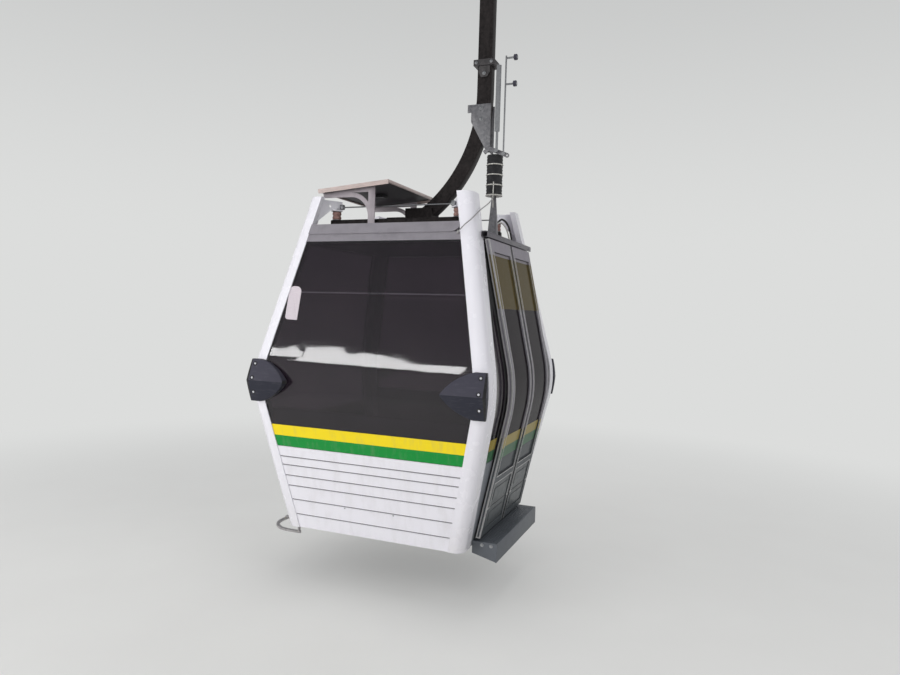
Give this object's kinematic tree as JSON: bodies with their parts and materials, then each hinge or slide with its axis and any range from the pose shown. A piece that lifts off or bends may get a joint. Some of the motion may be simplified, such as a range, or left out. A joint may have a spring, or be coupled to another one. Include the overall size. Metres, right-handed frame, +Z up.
{
  "type": "cable car cabin",
  "caption": "Detachable cable car cabin with bent glazed sides, sliding double doors, swinging hanger, roof gear and rope grip.",
  "frame": {"origin": "on the rope's axis, at the middle of the grip's jaws", "axes": "+Z up, +Y along the rope in the way of travel, +X toward the door side"},
  "size_m": [1.8998, 1.91, 5.084],
  "materials": {
    "white_paint": "satin",
    "tinted_glass": "glossy",
    "leaf_glass": "glossy",
    "leaf_paint": "satin",
    "dark_plastic": "matte",
    "galvanised": "dull",
    "bright_steel": "bright",
    "black_rubber": "matte",
    "aluminium": "satin",
    "seat_plastic": "satin",
    "floor_cover": "matte",
    "cell_glass": "glossy",
    "grip_casting": "painted"
  },
  "bodies": {
    "grip": {"grip_body": "grip_casting", "grip_drive_plate": "bright_steel", "grip_jaw": "grip_casting", "grip_lever": "grip_casting", "grip_springs": "bright_steel", "swing_pin": "bright_steel", "wheel_axle": "bright_steel"},
    "cabin": {"bellows_rings": "bright_steel", "bench_front": "seat_plastic", "bench_rear": "seat_plastic", "cable_bracket": "galvanised", "corner_bumpers": "dark_plastic", "corner_post_front_left": "white_paint", "corner_post_front_right": "white_paint", "corner_post_rear_left": "white_paint", "corner_post_rear_right": "white_paint", "door_bellows": "black_rubber", "door_header": "aluminium", "door_lever": "bright_steel", "door_push_rod": "bright_steel", "door_push_tube": "bright_steel", "door_rail": "aluminium", "door_roller_arms": "bright_steel", "door_side_panels": "white_paint", "door_side_windows": "tinted_glass", "door_sill": "aluminium", "end_headers": "aluminium", "end_panel_front": "white_paint", "end_panel_rear": "white_paint", "end_window_front": "tinted_glass", "end_window_rear": "tinted_glass", "floor_pan": "floor_cover", "guide_skid": "galvanised", "hanger_collar": "galvanised", "hanger_gussets": "galvanised", "hanger_tube": "galvanised", "release_cable": "white_paint", "roof_panel": "white_paint", "side_header_left": "aluminium", "side_panel_left": "white_paint", "side_window_left": "tinted_glass", "solar_brackets": "aluminium", "solar_panel": "cell_glass", "suspension_beam": "galvanised", "suspension_rubbers": "black_rubber", "tie_rods": "bright_steel"},
    "door_front": {"door_front_frame": "leaf_paint", "door_front_glass": "leaf_glass", "door_front_nose": "black_rubber", "door_front_panel": "leaf_paint"},
    "door_rear": {"door_rear_frame": "leaf_paint", "door_rear_glass": "leaf_glass", "door_rear_nose": "black_rubber", "door_rear_panel": "leaf_paint"},
    "wheel_inner": {"running_wheel_inner": "black_rubber"},
    "wheel_outer": {"running_wheel_outer": "black_rubber"}
  },
  "joints": [
    {"name": "hanger_swing", "type": "hinge", "parent": "grip", "child": "cabin", "pos_m": [0.525, 0, 0], "axis": [1, 0, 0], "range_deg": [-20, 20]},
    {"name": "door_front_slide", "type": "slide", "parent": "cabin", "child": "door_front", "axis": [0, -1, 0], "range_m": [0, 0.4]},
    {"name": "door_rear_slide", "type": "slide", "parent": "cabin", "child": "door_rear", "axis": [0, 1, 0], "range_m": [0, 0.4]},
    {"name": "running_wheel_inner_spin", "type": "hinge", "parent": "grip", "child": "wheel_inner", "pos_m": [0.195, 0, 0.235], "axis": [1, 0, 0], "continuous": true},
    {"name": "running_wheel_outer_spin", "type": "hinge", "parent": "grip", "child": "wheel_outer", "pos_m": [0.655, 0, 0.235], "axis": [1, 0, 0], "continuous": true}
  ]
}
